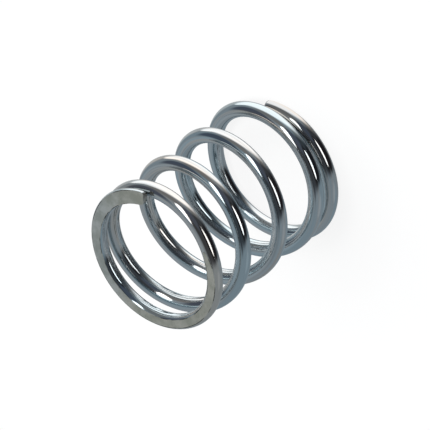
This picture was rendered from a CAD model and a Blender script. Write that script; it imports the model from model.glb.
from math import cos, pi, radians, sin

import bmesh
import bpy
from bpy.props import BoolProperty, FloatProperty, FloatVectorProperty, IntProperty, PointerProperty
from mathutils import Matrix, Vector


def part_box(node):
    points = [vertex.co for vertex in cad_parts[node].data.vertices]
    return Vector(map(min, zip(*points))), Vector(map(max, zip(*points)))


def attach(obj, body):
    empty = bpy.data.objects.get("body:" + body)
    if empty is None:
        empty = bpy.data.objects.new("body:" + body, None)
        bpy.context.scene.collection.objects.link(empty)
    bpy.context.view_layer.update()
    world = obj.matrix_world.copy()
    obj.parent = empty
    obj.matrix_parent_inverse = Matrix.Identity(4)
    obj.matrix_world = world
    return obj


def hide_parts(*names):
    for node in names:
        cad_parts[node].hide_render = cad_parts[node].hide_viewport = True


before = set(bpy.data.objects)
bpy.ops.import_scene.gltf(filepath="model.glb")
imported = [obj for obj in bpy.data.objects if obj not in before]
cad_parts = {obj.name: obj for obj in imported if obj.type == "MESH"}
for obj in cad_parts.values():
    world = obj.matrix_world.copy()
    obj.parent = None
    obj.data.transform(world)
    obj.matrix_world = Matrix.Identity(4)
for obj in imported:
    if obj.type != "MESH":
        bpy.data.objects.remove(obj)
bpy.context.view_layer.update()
spring_low, spring_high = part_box("coil_spring")

bl_info = {
    "name": "Compression Spring",
    "version": (1, 0, 0),
    "blender": (4, 5, 0),
    "location": "3D View > Sidebar > Spring",
    "description": "Winds a plated compression spring with closed and ground ends, and sets a small studio",
    "category": "Add Mesh",
}

UP = Vector((0, 0, 1))

# Attribute that holds a vertex's place: along the wire from its middle, outwards and upwards across it
WIRE_PLACE = "wire_place"
# Half the length of the wire, over which the looks along it are spread
HALF_WIRE_LENGTH = 0.142
# The turn that a tip rests on, counted from that tip
TURN_BESIDE_TIP = 1.0

# Order of the spring's materials
PLATE, GROUND, SHEARED, WORN = range(4)

# How far a tip's own section reaches past its rounding
ROUNDING_REACH = 1.4
# Faces that look along the wire at least this much belong to the sheared tip
TIP_FACING = 0.7
# Edges that bend less than this are shaded smooth
SMOOTH_ANGLE = radians(14)
# Grinding: points this near to the plane lie in it, and corners of the cut this close become one
CUT_TOLERANCE = 1e-7
MERGE_DISTANCE = 2e-6

# Warmth of the plate's tint along the wire, as pairs of place and warmth, from the lower tip to the upper
STRAW_ALONG_WIRE = (
    (0.0, 0.095), (0.03, 0.095), (0.06, 0.05), (0.09, 0.02), (0.15, 0.07), (0.25, 0.06), (0.31, 0.02),
    (0.36, 0.08), (0.42, 0.125), (0.47, 0.065), (0.53, 0.075), (0.60, 0.125), (0.66, 0.08), (0.70, 0.035),
    (0.74, 0.06), (0.76, 0.11), (0.87, 0.135), (0.89, 0.12), (0.91, 0.07))
# Share of the plate's brightness left at the dull lower tip, in the same pairs
DULLED_ALONG_WIRE = ((0.0, 0.82), (0.03, 0.85), (0.06, 1.0))
# The same where the upper tip has scuffed the second turn, on the side that touches it
SCUFF_ALONG_WIRE = ((0.792, 1.0), (0.797, 0.45), (0.8, 0.45), (0.805, 1.0))

TENT_RADIUS = 0.7
FLOOR_HALF_WIDTH = 4.0
GAP_UNDER_SPRING = 0.00005
# Soft ovals on the tent, each over those before it: colour, azimuth and elevation of the middle, half width
# and half height in degrees, and softness of the rim
TENT_PARTS = (
    ("lit_colour", 136, 30, 24, 34, 0.5),
    ("lit_colour", -122, -5, 14, 17, 0.5),
    ("dim_colour", 20, 26, 30, 20, 0.5),
    ("shade_colour", 73, 38, 22, 23, 0.5),
    ("dark_colour", -60, 10, 37, 90, 0.3),
    ("dark_colour", -84, -64, 18, 16, 0.5),
    ("dark_colour", -55, 70, 30, 16, 0.5),
    ("shade_colour", -26, 28, 19, 25, 0.5),
    ("black_colour", -74, -32, 22, 30, 0.4),
    ("black_colour", -66, 10, 26, 27, 0.35),
    ("dim_colour", -20, -40, 12, 26, 0.8),
    ("half_colour", 94, -32, 22, 26, 0.5),
    ("white_colour", 30, -34.5, 38, 40, 0.4),
    ("white_colour", 62, -15, 13, 13, 0.4))


# Sizes and finishes

class SpringShape(bpy.types.PropertyGroup):
    """Sizes of the spring. Places along the wire are counted in turns from a tip."""
    wire_diameter: FloatProperty(
        name="Wire Diameter", description="Thickness of the round wire", default=0.002, unit='LENGTH')
    outer_diameter: FloatProperty(
        name="Outer Diameter", description="Width of the coil over the wire",
        default=spring_high.x - spring_low.x, unit='LENGTH')
    free_length: FloatProperty(
        name="Free Length", description="Distance between both ground faces with no load",
        default=spring_high.z - spring_low.z, unit='LENGTH')
    total_turns: FloatProperty(
        name="Turns", description="Turns of wire from tip to tip", default=4.9986)
    left_hand: BoolProperty(
        name="Left Hand", description="Wind the wire clockwise on its way up", default=True)
    ground_depth: FloatProperty(
        name="Ground Depth", description="Depth that grinding takes off the first turn",
        default=0.0002, unit='LENGTH')
    step_turns: FloatProperty(
        name="Step Turns", description="Length of the bend into the step", default=0.12)
    tip_angle: FloatProperty(
        name="Tip Angle", description="Direction of the lower tip around the coil, from +X",
        default=radians(4.6), subtype='ANGLE')
    tip_rounding: FloatProperty(
        name="Tip Rounding", description="Radius of the worn edge around a cut tip", default=0.00055,
        unit='LENGTH')
    tip_draw_in: FloatProperty(
        name="Tip Draw In", description="Distance by which a tip is drawn in towards the coil's axis",
        default=0.00033, unit='LENGTH')
    tip_draw_turns: FloatProperty(
        name="Tip Draw Turns", description="Length of wire that is drawn in towards the tip", default=0.13)
    tip_press_turns: FloatProperty(
        name="Tip Press Turns", description="Length of wire that is pressed onto the turn beside the tip",
        default=0.3)
    tip_clearance: FloatProperty(
        name="Tip Clearance", description="Gap between the tip and the turn beside it",
        default=0.00002, unit='LENGTH')
    lower_flat_turns: FloatProperty(
        name="Lower Flat Turns", description="Place where the lower end's first turn starts to step up",
        default=0.733)
    lower_step_pitch: FloatProperty(
        name="Lower Step Pitch", description="Rise per turn in the lower end's step",
        default=0.0062, unit='LENGTH')
    lower_opening_start: FloatProperty(
        name="Lower Opening Start", description="Place where the lower end starts to open",
        default=1.113)
    lower_opening_end: FloatProperty(
        name="Lower Opening End", description="Place where the lower end has its open pitch",
        default=1.313)
    upper_flat_turns: FloatProperty(
        name="Upper Flat Turns", description="Place where the upper end's first turn starts to step down",
        default=0.706)
    upper_step_pitch: FloatProperty(
        name="Upper Step Pitch", description="Rise per turn in the upper end's step",
        default=0.0053, unit='LENGTH')
    upper_opening_start: FloatProperty(
        name="Upper Opening Start", description="Place where the upper end starts to open",
        default=0.886)
    upper_opening_end: FloatProperty(
        name="Upper Opening End", description="Place where the upper end has its open pitch",
        default=1.986)
    edge_break: FloatProperty(
        name="Edge Break", description="Width of the worn edge around a ground face",
        default=0.00009, unit='LENGTH')
    edge_drop: FloatProperty(
        name="Edge Drop", description="Height of the worn edge around a ground face",
        default=0.00002, unit='LENGTH')
    wire_sides: IntProperty(
        name="Wire Sides", description="Faces around the wire", default=48)
    sections_per_turn: IntProperty(
        name="Sections per Turn", description="Steps of the winding in one turn", default=120)


class SpringFinish(bpy.types.PropertyGroup):
    """Colours and roughness of the plated wire, the ground faces and the cut tips."""
    plate_cool: FloatVectorProperty(
        name="Plate, Cool", description="Bluer tint of the zinc plate", subtype='COLOR',
        default=(0.565, 0.66, 0.70))
    plate_plain: FloatVectorProperty(
        name="Plate, Plain", description="Main tint of the zinc plate", subtype='COLOR',
        default=(0.66, 0.675, 0.68))
    plate_warm: FloatVectorProperty(
        name="Plate, Warm", description="Faint straw tint of the zinc plate", subtype='COLOR',
        default=(0.71, 0.665, 0.615))
    streak_shade: FloatVectorProperty(
        name="Streak Shade", description="Tint of the darkest drawing lines", subtype='COLOR',
        default=(0.48, 0.505, 0.515))
    plate_smooth: FloatProperty(
        name="Plate, Smooth", description="Roughness between the drawing lines", default=0.08,
        subtype='FACTOR')
    plate_drawn: FloatProperty(
        name="Plate, Drawn", description="Roughness on the drawing lines", default=0.20,
        subtype='FACTOR')
    ground_light: FloatVectorProperty(
        name="Ground, Light", description="Lighter tint of the ground steel", subtype='COLOR',
        default=(0.90, 0.84, 0.77))
    ground_dark: FloatVectorProperty(
        name="Ground, Dark", description="Darker tint of the ground steel", subtype='COLOR',
        default=(0.69, 0.66, 0.585))
    ground_olive: FloatVectorProperty(
        name="Ground, Olive", description="Cast over one side of a ground face", subtype='COLOR',
        default=(0.95, 0.95, 0.89))
    ground_blue: FloatVectorProperty(
        name="Ground, Blue", description="Cast over the other side of a ground face", subtype='COLOR',
        default=(0.93, 0.98, 1.0))
    edge_dark: FloatVectorProperty(
        name="Edge, Dark", description="Dark parts of the worn edge around a ground face", subtype='COLOR',
        default=(0.10, 0.095, 0.085))
    cut_colour: FloatVectorProperty(
        name="Cut, Dark", description="Torn outer part of the sheared tip", subtype='COLOR',
        default=(0.20, 0.19, 0.165))
    cut_inner: FloatVectorProperty(
        name="Cut, Inner", description="Smoother inner part of the sheared tip", subtype='COLOR',
        default=(0.42, 0.42, 0.39))


class SpringStudio(bpy.types.PropertyGroup):
    """Camera and light of the small studio."""
    view_azimuth: FloatProperty(
        name="View Azimuth", description="Direction of the camera around the spring, from +X",
        default=radians(-45.508), subtype='ANGLE')
    view_elevation: FloatProperty(
        name="View Elevation", description="Height of the camera above the horizon",
        default=radians(40.861), subtype='ANGLE')
    view_roll: FloatProperty(
        name="View Roll", description="Turn of the camera about its own line of sight",
        default=radians(-127.31), subtype='ANGLE')
    view_distance: FloatProperty(
        name="View Distance", description="Distance of the camera", default=1.4795, unit='LENGTH')
    view_aim: FloatVectorProperty(
        name="View Aim", description="Point in the middle of the picture", subtype='TRANSLATION',
        default=(-0.000222, -0.00004, 0.012947))
    focal_length: FloatProperty(
        name="Focal Length", description="Focal length of the lens in millimetres", default=991.8)
    surround_colour: FloatVectorProperty(
        name="Surround", description="Colour of the tent around the spring", subtype='COLOR',
        default=(0.262, 0.302, 0.332))
    lit_colour: FloatVectorProperty(
        name="Lit Part", description="Colour of the tent's lighter parts", subtype='COLOR',
        default=(0.335, 0.378, 0.41))
    dim_colour: FloatVectorProperty(
        name="Dim Part", description="Colour of the tent under the left softbox", subtype='COLOR',
        default=(0.206, 0.203, 0.201))
    shade_colour: FloatVectorProperty(
        name="Shaded Part", description="Colour of the tent beside the left softbox", subtype='COLOR',
        default=(0.078, 0.092, 0.122))
    dark_colour: FloatVectorProperty(
        name="Dark Side", description="Colour of the dark room behind the camera", subtype='COLOR',
        default=(0.051, 0.056, 0.064))
    black_colour: FloatVectorProperty(
        name="Black Part", description="Colour of the darkest part of the room", subtype='COLOR',
        default=(0.014, 0.014, 0.016))
    half_colour: FloatVectorProperty(
        name="Half-Lit Part", description="Colour of the tent beside its pale side", subtype='COLOR',
        default=(0.55, 0.56, 0.56))
    white_colour: FloatVectorProperty(
        name="Pale Side", description="Colour of the tent's pale side", subtype='COLOR',
        default=(1.54, 1.50, 1.48), max=2.0)
    left_power: FloatProperty(
        name="Left Power", description="Power of the left softbox in watts", default=0.36)
    right_power: FloatProperty(
        name="Right Power", description="Power of the right softbox in watts", default=0.34)
    floor_power: FloatProperty(
        name="Floor Power", description="Power of the floor's lamp in watts", default=12.0)


# Winding

def risen_turns(start, end, turn):
    """Turns gained, at a place, by a pitch that grows smoothly from 0 at start to 1 at end."""
    width = end - start
    share = min(max((turn - start) / width, 0.0), 1.0)
    return width * (share**3 - share**4 / 2) + max(turn - end, 0.0)


class EndWinding:
    """Heights of the wire's centre line above the ground face of one end."""

    def __init__(self, shape, flat_turns, step_pitch, opening_start, opening_end):
        self.shape = shape
        self.flat_turns = flat_turns
        self.step_pitch = step_pitch
        self.opening_start = opening_start
        self.opening_end = opening_end
        self.flat_height = shape.wire_diameter / 2 - shape.ground_depth
        self.open_pitch = 0.0

    def stepped_height(self, turn):
        """Height where the wire keeps the pitch of its step."""
        return self.flat_height + self.step_pitch * risen_turns(
            self.flat_turns, self.flat_turns + self.shape.step_turns, turn)

    def opened_turns(self, turn):
        """Turns over which the wire has its open pitch in place of the pitch of its step."""
        return risen_turns(self.opening_start, self.opening_end, turn)

    def laid_height(self, turn):
        """Height with the open pitch, before the tip is pressed on."""
        return self.stepped_height(turn) + (self.open_pitch - self.step_pitch) * self.opened_turns(turn)

    def height(self, turn):
        """Height with the tip pressed out of the flat, so that it rests on the turn beside it."""
        shape = self.shape
        tip_height = self.laid_height(TURN_BESIDE_TIP) - shape.wire_diameter - shape.tip_clearance
        pressed_share = max(1 - turn / shape.tip_press_turns, 0.0) ** 2
        return self.laid_height(turn) - (self.flat_height - tip_height) * pressed_share


class Winding:
    """The wire's centre line, with turns counted upwards from the lower tip."""

    def __init__(self, shape):
        self.shape = shape
        self.lower_end = EndWinding(
            shape, shape.lower_flat_turns, shape.lower_step_pitch, shape.lower_opening_start,
            shape.lower_opening_end)
        self.upper_end = EndWinding(
            shape, shape.upper_flat_turns, shape.upper_step_pitch, shape.upper_opening_start,
            shape.upper_opening_end)
        self.middle_turn = shape.total_turns / 2
        self.coil_radius = (shape.outer_diameter - shape.wire_diameter) / 2
        self.sense = -1 if shape.left_hand else 1
        height_to_gain = shape.free_length
        turns_to_gain_it = 0.0
        for end in (self.lower_end, self.upper_end):
            opened = end.opened_turns(self.middle_turn)
            height_to_gain -= end.stepped_height(self.middle_turn) - end.step_pitch * opened
            turns_to_gain_it += opened
        for end in (self.lower_end, self.upper_end):
            end.open_pitch = height_to_gain / turns_to_gain_it

    def height(self, turn):
        """Height of the centre line above the lower ground face."""
        if turn <= self.middle_turn:
            return self.lower_end.height(turn)
        return self.shape.free_length - self.upper_end.height(self.shape.total_turns - turn)

    def radius(self, turn):
        """Distance of the centre line from the coil's axis."""
        shape = self.shape
        turns_to_tip = min(turn, shape.total_turns - turn)
        drawn_share = max(1 - turns_to_tip / shape.tip_draw_turns, 0.0) ** 2
        return self.coil_radius - shape.tip_draw_in * drawn_share

    def radial(self, turn):
        """Direction from the coil's axis to the centre line."""
        angle = self.shape.tip_angle + self.sense * 2 * pi * turn
        return Vector((cos(angle), sin(angle), 0))

    def centre(self, turn):
        """Point of the centre line."""
        return self.radial(turn) * self.radius(turn) + UP * self.height(turn)

    def heading(self, turn):
        """Direction in which the wire runs upwards."""
        nudge = 1e-4
        return (self.centre(turn + nudge) - self.centre(turn - nudge)).normalized()

    def section_stops(self):
        """Places of the wire's sections, evenly spaced between two tip sections that hold the rounding."""
        total = self.shape.total_turns
        tip_section = ROUNDING_REACH * self.shape.tip_rounding / (2 * pi * self.coil_radius)
        step_count = round(total * self.shape.sections_per_turn)
        step = (total - 2 * tip_section) / step_count
        return [0.0] + [tip_section + step * index for index in range(step_count + 1)] + [total]


def edges_of(geometry):
    """The edges among the elements that a bmesh operator gives back."""
    return [element for element in geometry if isinstance(element, bmesh.types.BMEdge)]


def verts_of(edges):
    """The vertices of some edges, each once."""
    return list({vert for edge in edges for vert in edge.verts})


def wind_wire(bm, winding):
    """Spins a round section from the lower tip to the upper tip and closes both tips."""
    shape = winding.shape
    place = bm.verts.layers.float_vector.new(WIRE_PLACE)
    section = bmesh.ops.create_circle(bm, segments=shape.wire_sides, radius=shape.wire_diameter / 2)
    for vert in section["verts"]:
        vert[place] = (0, vert.co.x, vert.co.y)
    heading = winding.heading(0)
    radial = winding.radial(0)
    stand_up = Matrix((radial, heading.cross(radial), heading)).transposed().to_4x4()
    bmesh.ops.transform(
        bm, matrix=Matrix.Translation(winding.centre(0)) @ stand_up, verts=section["verts"])

    first_rim = bm.edges[:]
    rim = first_rim
    length = 0.0
    stops = winding.section_stops()
    for last, turn in zip(stops, stops[1:]):
        step_angle = winding.sense * 2 * pi * (turn - last)
        rise = winding.height(turn) - winding.height(last)
        spun = bmesh.ops.spin(
            bm, geom=verts_of(rim) + rim, cent=(0, 0, 0), axis=UP, dvec=(0, 0, rise),
            angle=step_angle, steps=1)
        rim = edges_of(spun["geom_last"])
        rim_verts = verts_of(rim)
        drawn = winding.radius(turn) - winding.radius(last)
        bmesh.ops.translate(bm, vec=winding.radial(turn) * drawn, verts=rim_verts)
        carried_heading = Matrix.Rotation(step_angle, 3, UP) @ winding.heading(last)
        bmesh.ops.rotate(
            bm, cent=winding.centre(turn), verts=rim_verts,
            matrix=carried_heading.rotation_difference(winding.heading(turn)).to_matrix())
        length += (winding.centre(turn) - winding.centre(last)).length
        for vert in rim_verts:
            vert[place].x = length

    tips = []
    for tip_rim in (first_rim, rim):
        tips += bmesh.ops.edgeloop_fill(bm, edges=tip_rim, mat_nr=SHEARED)["faces"]
    bmesh.ops.recalc_face_normals(bm, faces=bm.faces[:])
    for vert in bm.verts:
        vert[place].x -= length / 2
    tip_edges = [edge for face in tips for edge in face.edges]
    rounded = bmesh.ops.bevel(
        bm, geom=tip_edges, offset=shape.tip_rounding, segments=6, profile=0.5, affect='EDGES',
        material=-1)
    for face in rounded["faces"]:
        at_top = face.calc_center_median().z > shape.free_length / 2
        outward = winding.heading(shape.total_turns) if at_top else -winding.heading(0)
        face.normal_update()
        face.material_index = SHEARED if face.normal.dot(outward) > TIP_FACING else PLATE


def grind_end(bm, shape, face_height, outward):
    """Cuts one end flat, closes the cut and breaks its edge. outward is 1 at the top, -1 below."""
    everything = bm.verts[:] + bm.edges[:] + bm.faces[:]
    cut = bmesh.ops.bisect_plane(
        bm, geom=everything, dist=CUT_TOLERANCE, plane_co=(0, 0, face_height - outward * shape.edge_drop),
        plane_no=(0, 0, outward), clear_outer=True)
    cut_edges = edges_of(cut["geom_cut"])
    bmesh.ops.remove_doubles(bm, verts=verts_of(cut_edges), dist=MERGE_DISTANCE)
    cut_edges = [edge for edge in cut_edges if edge.is_valid]
    flat = bmesh.ops.edgeloop_fill(bm, edges=cut_edges, mat_nr=GROUND)["faces"]
    bmesh.ops.recalc_face_normals(bm, faces=bm.faces[:])
    broken = bmesh.ops.inset_region(
        bm, faces=flat, thickness=shape.edge_break, depth=shape.edge_drop, use_even_offset=True)
    for face in broken["faces"]:
        face.material_index = WORN
    bmesh.ops.triangulate(bm, faces=flat, quad_method='BEAUTY', ngon_method='BEAUTY')


def make_spring(shape, materials):
    """Makes the spring's mesh piece."""
    winding = Winding(shape)
    bm = bmesh.new()
    wind_wire(bm, winding)
    grind_end(bm, shape, 0.0, -1)
    grind_end(bm, shape, shape.free_length, 1)
    bmesh.ops.recalc_face_normals(bm, faces=bm.faces[:])
    for face in bm.faces:
        face.smooth = True
    for edge in bm.edges:
        edge.smooth = edge.calc_face_angle(0) < SMOOTH_ANGLE
    mesh = bpy.data.meshes.new("spring_wire")
    bm.to_mesh(mesh)
    bm.free()
    for material in materials:
        mesh.materials.append(material)
    spring = bpy.data.objects.new("spring_wire", mesh)
    bpy.context.scene.collection.objects.link(spring)
    return spring


# Materials

def start_material(name):
    """A new material with its node tree and its Principled shader."""
    material = bpy.data.materials.new(name)
    material.use_nodes = True
    tree = material.node_tree
    return material, tree, tree.nodes["Principled BSDF"]


def add_node(tree, kind, inputs=None, **settings):
    """Adds a node, sets it up and joins or sets its inputs."""
    node = tree.nodes.new(kind)
    for name, value in settings.items():
        setattr(node, name, value)
    for name, value in (inputs or {}).items():
        if isinstance(value, bpy.types.NodeSocket):
            tree.links.new(value, node.inputs[name])
        else:
            node.inputs[name].default_value = value
    return node


def add_math(tree, operation, *values):
    """One step of arithmetic with values, each a socket or a number."""
    return add_node(tree, "ShaderNodeMath", dict(enumerate(values)), operation=operation).outputs[0]


def add_noise(tree, place, scale, detail=2.0, roughness=0.5, turned=(0, 0, 0)):
    """Noise over place, with its own scale along each axis, in patches per metre."""
    mapping = add_node(tree, "ShaderNodeMapping", {"Vector": place, "Scale": scale, "Rotation": turned})
    noise = add_node(tree, "ShaderNodeTexNoise", {
        "Vector": mapping.outputs["Vector"], "Scale": 1.0, "Detail": detail, "Roughness": roughness})
    return noise.outputs["Fac"]


def add_range(tree, value, low, high, to_low=0.0, to_high=1.0):
    """Maps a value from one range to another, smoothly."""
    mapped = add_node(tree, "ShaderNodeMapRange", {
        "Value": value, "From Min": low, "From Max": high, "To Min": to_low, "To Max": to_high},
        interpolation_type='SMOOTHSTEP')
    return mapped.outputs["Result"]


def add_mix(tree, share, first, second, blend_type='MIX'):
    """Mixes two colours, each a socket or red, green and blue."""
    mix = add_node(tree, "ShaderNodeMix", data_type='RGBA', blend_type=blend_type)
    for name, value in (("Factor", share), ("A", first), ("B", second)):
        if isinstance(value, bpy.types.NodeSocket):
            tree.links.new(value, mix.inputs[name])
        else:
            mix.inputs[name].default_value = value if name == "Factor" else (*value, 1)
    return mix.outputs["Result"]


def add_ramp(tree, value, stops):
    """Colours by a value, from stops of position and colour."""
    ramp = add_node(tree, "ShaderNodeValToRGB", {"Fac": value})
    elements = ramp.color_ramp.elements
    while len(elements) < len(stops):
        elements.new(0.5)
    for element, (position, colour) in zip(elements, stops):
        element.position = position
        element.color = (*colour, 1)
    return ramp.outputs["Color"]


def add_level_ramp(tree, value, stops):
    """Levels by a value, from stops of position and level."""
    return add_ramp(tree, value, [(position, (level, level, level)) for position, level in stops])


def zinc_plate(finish):
    """Bright zinc plate over drawn wire: drawing lines, clouds of cool and warm tint, and two dull places."""
    material, tree, shader = start_material("zinc_plate")
    place = add_node(
        tree, "ShaderNodeAttribute", attribute_type='GEOMETRY', attribute_name=WIRE_PLACE).outputs["Vector"]
    clouds = add_noise(tree, place, scale=(32, 1000, 1000), detail=4, roughness=0.6)
    lines = add_noise(tree, place, scale=(40, 2400, 2400), detail=4, roughness=0.6)
    ridges = add_noise(tree, place, scale=(40, 1600, 1600), detail=1)
    parts = add_node(tree, "ShaderNodeSeparateXYZ", {"Vector": place}).outputs
    along = add_node(tree, "ShaderNodeMapRange", {
        "Value": parts["X"], "From Min": -HALF_WIRE_LENGTH, "From Max": HALF_WIRE_LENGTH}).outputs["Result"]
    cloud_share = 0.8
    straw = add_level_ramp(tree, along, STRAW_ALONG_WIRE)
    warmth = add_math(tree, 'MULTIPLY_ADD', clouds, cloud_share, straw)
    tint = add_ramp(tree, warmth, [
        (0.42, finish.plate_cool), (0.5, finish.plate_plain), (0.58, finish.plate_warm)])
    streaked = add_mix(tree, add_range(tree, lines, 0.5, 0.74), tint, finish.streak_shade)
    scuffed_side = add_range(tree, parts["Z"], 0.0008, 0.00095)
    scuff = add_level_ramp(tree, along, SCUFF_ALONG_WIRE)
    scuffed = add_mix(tree, scuffed_side, streaked, scuff, blend_type='MULTIPLY')
    dulled = add_level_ramp(tree, along, DULLED_ALONG_WIRE)
    colour = add_mix(tree, 1.0, scuffed, dulled, blend_type='MULTIPLY')
    bump = add_node(tree, "ShaderNodeBump", {"Strength": 0.22, "Distance": 0.00004, "Height": ridges})
    shader.inputs["Metallic"].default_value = 1.0
    tree.links.new(colour, shader.inputs["Base Color"])
    roughness = add_range(tree, lines, 0.5, 0.72, to_low=finish.plate_smooth, to_high=finish.plate_drawn)
    tree.links.new(roughness, shader.inputs["Roughness"])
    tree.links.new(bump.outputs["Normal"], shader.inputs["Normal"])
    return material


def ground_steel(finish):
    """Steel ground on a wheel: matt, with fine straight lines, faint blotches and a cast over each side."""
    material, tree, shader = start_material("ground_steel")
    place = add_node(tree, "ShaderNodeTexCoord").outputs["Object"]
    blotches = add_noise(tree, place, scale=(600, 600, 600), detail=4, roughness=0.6)
    lines = add_noise(tree, place, scale=(500, 14000, 500), detail=2, turned=(0, 0, radians(35)))
    patches = add_noise(tree, place, scale=(150, 150, 150), detail=3)
    tint = add_ramp(tree, blotches, [(0.4, finish.ground_dark), (0.6, finish.ground_light)])
    sideways = add_node(tree, "ShaderNodeSeparateXYZ", {"Vector": place}).outputs["Y"]
    patch_reach = 0.016
    cast_place = add_math(tree, 'MULTIPLY_ADD', patches, patch_reach, sideways)
    cast_share = add_range(tree, cast_place, 0.008, 0.017)
    cast = add_mix(tree, cast_share, finish.ground_olive, finish.ground_blue)
    colour = add_mix(tree, 1.0, tint, cast, blend_type='MULTIPLY')
    bump = add_node(tree, "ShaderNodeBump", {"Strength": 0.25, "Distance": 0.00001, "Height": lines})
    shader.inputs["Metallic"].default_value = 1.0
    tree.links.new(colour, shader.inputs["Base Color"])
    tree.links.new(add_range(tree, lines, 0.3, 0.7, to_low=0.42, to_high=0.56), shader.inputs["Roughness"])
    tree.links.new(bump.outputs["Normal"], shader.inputs["Normal"])
    return material


def worn_edge(finish):
    """The broken edge around a ground face, dark in places."""
    material, tree, shader = start_material("worn_edge")
    place = add_node(tree, "ShaderNodeTexCoord").outputs["Object"]
    nicks = add_noise(tree, place, scale=(350, 350, 350), detail=3, roughness=0.6)
    colour = add_mix(tree, add_range(tree, nicks, 0.44, 0.56), finish.edge_dark, finish.ground_dark)
    shader.inputs["Metallic"].default_value = 1.0
    tree.links.new(colour, shader.inputs["Base Color"])
    tree.links.new(add_range(tree, nicks, 0.3, 0.7, to_low=0.5, to_high=0.35), shader.inputs["Roughness"])
    return material


def sheared_steel(finish):
    """Steel of the sheared tips: smoother on the inside of the coil, dark and torn outside."""
    material, tree, shader = start_material("sheared_steel")
    place = add_node(tree, "ShaderNodeTexCoord").outputs["Object"]
    tears = add_noise(tree, place, scale=(3000, 3000, 9000), detail=4, roughness=0.7)
    dark = Vector(finish.cut_colour)
    torn = add_ramp(tree, tears, [(0.3, dark * 0.5), (0.7, dark * 1.6)])
    outwards = add_node(tree, "ShaderNodeSeparateXYZ", {"Vector": place}).outputs["X"]
    colour = add_mix(tree, add_range(tree, outwards, 0.0086, 0.0094), finish.cut_inner, torn)
    bump = add_node(tree, "ShaderNodeBump", {"Strength": 0.6, "Distance": 0.00004, "Height": tears})
    shader.inputs["Metallic"].default_value = 0.6
    tree.links.new(colour, shader.inputs["Base Color"])
    tree.links.new(add_range(tree, tears, 0.3, 0.7, to_low=0.35, to_high=0.7), shader.inputs["Roughness"])
    tree.links.new(bump.outputs["Normal"], shader.inputs["Normal"])
    return material


# Stage

def add_stage_piece(name, bm, material, only_in_reflections):
    """Turns a mesh into a stage piece. The spring reflects it, or else everything but reflections sees it."""
    mesh = bpy.data.meshes.new(name)
    bm.to_mesh(mesh)
    bm.free()
    mesh.materials.append(material)
    piece = bpy.data.objects.new(name, mesh)
    bpy.context.scene.collection.objects.link(piece)
    piece.visible_glossy = only_in_reflections
    piece.visible_camera = not only_in_reflections
    piece.visible_diffuse = not only_in_reflections
    piece.visible_shadow = not only_in_reflections
    piece.visible_transmission = not only_in_reflections


def direction_at(azimuth, elevation):
    """Direction from the spring, from an azimuth and an elevation."""
    return Vector((cos(azimuth) * cos(elevation), sin(azimuth) * cos(elevation), sin(elevation)))


def background_rays(tree):
    """1 for the rays that see the background as it is: from the camera, by reflection or through glass."""
    rays = add_node(tree, "ShaderNodeLightPath").outputs
    seen = add_math(tree, 'ADD', rays["Is Camera Ray"], rays["Is Glossy Ray"])
    return add_math(tree, 'ADD', seen, rays["Is Transmission Ray"])


def set_floor():
    """A plain white floor just under the spring, which keeps a soft shadow."""
    material, tree, shader = start_material("white_floor")
    tree.nodes.remove(shader)
    paper = add_node(tree, "ShaderNodeBsdfDiffuse", {"Color": (0.8, 0.8, 0.8, 1)})
    glow = add_node(tree, "ShaderNodeEmission", {"Color": (1, 1, 1, 1), "Strength": background_rays(tree)})
    glow_share = 0.88
    mostly_glow = add_node(tree, "ShaderNodeMixShader", {
        "Fac": glow_share, 1: paper.outputs["BSDF"], 2: glow.outputs["Emission"]})
    tree.links.new(mostly_glow.outputs["Shader"], tree.nodes["Material Output"].inputs["Surface"])
    bm = bmesh.new()
    bmesh.ops.create_grid(bm, x_segments=1, y_segments=1, size=FLOOR_HALF_WIDTH)
    bmesh.ops.translate(bm, vec=-UP * GAP_UNDER_SPRING, verts=bm.verts[:])
    add_stage_piece("floor", bm, material, only_in_reflections=False)


def set_tent(studio):
    """A tent of grey-blue cloth, with lighter and darker parts, which only the spring's reflections show."""
    material, tree, shader = start_material("tent_cloth")
    tree.nodes.remove(shader)
    place = add_node(tree, "ShaderNodeTexCoord").outputs["Object"]
    colour = studio.surround_colour
    for part, *oval in TENT_PARTS:
        colour = add_mix(tree, add_oval(tree, place, *oval), colour, getattr(studio, part))
    glow = add_node(tree, "ShaderNodeEmission", {"Color": colour, "Strength": 1.0})
    tree.links.new(glow.outputs["Emission"], tree.nodes["Material Output"].inputs["Surface"])
    bm = bmesh.new()
    bmesh.ops.create_uvsphere(bm, u_segments=96, v_segments=48, radius=TENT_RADIUS)
    add_stage_piece("tent", bm, material, only_in_reflections=True)


def add_oval(tree, place, azimuth, elevation, half_width, half_height, softness):
    """1 inside a soft oval of the tent and 0 outside. Its middle and half sizes are in degrees."""
    half_sizes = Vector((1, sin(radians(half_width)), sin(radians(half_height))))
    turned = add_node(tree, "ShaderNodeMapping", {
        "Vector": place, "Rotation": (0, -radians(elevation), radians(azimuth)),
        "Scale": half_sizes * TENT_RADIUS}, vector_type='TEXTURE')
    parts = add_node(tree, "ShaderNodeSeparateXYZ", {"Vector": turned.outputs["Vector"]}).outputs
    across = add_math(tree, 'POWER', parts["Y"], 2.0)
    upwards = add_math(tree, 'POWER', parts["Z"], 2.0)
    offset = add_math(tree, 'ADD', across, upwards)
    inside = add_range(tree, offset, 1 - softness, 1 + softness, to_low=1.0, to_high=0.0)
    near_side = add_range(tree, parts["X"], 0.0, 0.1)
    return add_math(tree, 'MULTIPLY', inside, near_side)


def set_world(studio):
    """A white background, and a plain grey-blue light from all around."""
    world = bpy.data.worlds.new("studio")
    bpy.context.scene.world = world
    world.use_nodes = True
    tree = world.node_tree
    colour = add_mix(tree, background_rays(tree), studio.surround_colour, (1, 1, 1))
    tree.links.new(colour, tree.nodes["Background"].inputs["Color"])


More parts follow.
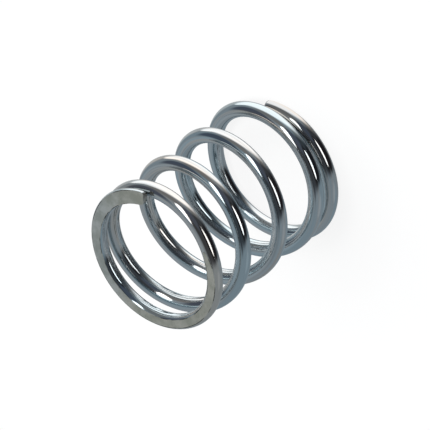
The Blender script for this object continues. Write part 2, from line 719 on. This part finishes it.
def add_lamp(name, shape, azimuth, elevation, tilt, distance, size, power, seen_in_metal=True):
    """A softbox that looks at the spring. Its azimuth, elevation and tilt are in degrees."""
    lamp = bpy.data.lights.new(name, 'AREA')
    lamp.shape = shape
    lamp.size, lamp.size_y = size
    lamp.energy = power
    lamp_object = bpy.data.objects.new(name, lamp)
    bpy.context.scene.collection.objects.link(lamp_object)
    aim = direction_at(radians(azimuth), radians(elevation))
    lamp_object.location = aim * distance
    upright = aim.to_track_quat('Z', 'Y').to_matrix()
    lamp_object.rotation_euler = (upright @ Matrix.Rotation(radians(tilt), 3, 'Z')).to_euler()
    lamp_object.visible_glossy = seen_in_metal
    lamp_object.visible_camera = False


def set_lamps(studio):
    """A softbox on each side of the picture, and a broad lamp over the floor."""
    add_lamp(
        "left_softbox", 'ELLIPSE', azimuth=10, elevation=59, tilt=69, distance=0.5, size=(0.38, 0.15),
        power=studio.left_power)
    add_lamp(
        "right_softbox", 'ELLIPSE', azimuth=-66, elevation=7, tilt=0, distance=0.5, size=(0.35, 0.17),
        power=studio.right_power)
    add_lamp(
        "floor_lamp", 'DISK', azimuth=60, elevation=70, tilt=0, distance=1.0, size=(0.8, 0.8),
        power=studio.floor_power, seen_in_metal=False)


def set_camera(studio):
    """The camera, rolled so that the spring lies across the picture."""
    camera_data = bpy.data.cameras.new("camera")
    camera_data.lens = studio.focal_length
    camera_data.sensor_width = 36
    camera_data.clip_start = 0.1
    camera_data.clip_end = 10
    camera = bpy.data.objects.new("camera", camera_data)
    bpy.context.scene.collection.objects.link(camera)
    back = direction_at(studio.view_azimuth, studio.view_elevation)
    camera.location = Vector(studio.view_aim) + back * studio.view_distance
    upright = back.to_track_quat('Z', 'Y').to_matrix()
    camera.rotation_euler = (upright @ Matrix.Rotation(studio.view_roll, 3, 'Z')).to_euler()
    bpy.context.scene.camera = camera


# Operators and sidebar

class SPRING_OT_wind(bpy.types.Operator):
    """Wind the wire, grind both ends and plate the spring"""
    bl_idname = "spring.wind"
    bl_label = "Wind Spring"
    bl_options = {'REGISTER', 'UNDO'}

    def execute(self, context):
        finish = context.scene.spring_finish
        materials = (zinc_plate(finish), ground_steel(finish), sheared_steel(finish), worn_edge(finish))
        spring = make_spring(context.scene.spring_shape, materials)
        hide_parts("coil_spring")
        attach(spring, "root")
        return {'FINISHED'}


class SPRING_OT_set_stage(bpy.types.Operator):
    """Set the floor, the tent, the light and the camera"""
    bl_idname = "spring.set_stage"
    bl_label = "Set Stage"
    bl_options = {'REGISTER', 'UNDO'}

    def execute(self, context):
        studio = context.scene.spring_studio
        set_floor()
        set_tent(studio)
        set_world(studio)
        set_lamps(studio)
        set_camera(studio)
        context.scene.view_settings.view_transform = 'Standard'
        return {'FINISHED'}


class SPRING_PT_sidebar(bpy.types.Panel):
    """Sizes, finish and stage of the spring"""
    bl_label = "Compression Spring"
    bl_idname = "SPRING_PT_sidebar"
    bl_space_type = 'VIEW_3D'
    bl_region_type = 'UI'
    bl_category = "Spring"

    def draw(self, context):
        layout = self.layout
        scene = context.scene
        for group, operator in (
                (scene.spring_shape, None), (scene.spring_finish, SPRING_OT_wind.bl_idname),
                (scene.spring_studio, SPRING_OT_set_stage.bl_idname)):
            box = layout.box()
            for name in group.__annotations__:
                box.prop(group, name)
            if operator:
                box.operator(operator)


classes = (SpringShape, SpringFinish, SpringStudio, SPRING_OT_wind, SPRING_OT_set_stage, SPRING_PT_sidebar)


def register():
    for cls in classes:
        bpy.utils.register_class(cls)
    bpy.types.Scene.spring_shape = PointerProperty(type=SpringShape)
    bpy.types.Scene.spring_finish = PointerProperty(type=SpringFinish)
    bpy.types.Scene.spring_studio = PointerProperty(type=SpringStudio)


def unregister():
    del bpy.types.Scene.spring_studio
    del bpy.types.Scene.spring_finish
    del bpy.types.Scene.spring_shape
    for cls in reversed(classes):
        bpy.utils.unregister_class(cls)


def main():
    """Builds the whole scene."""
    register()
    bpy.ops.spring.wind()
    bpy.ops.spring.set_stage()


if __name__ == "__main__":
    main()
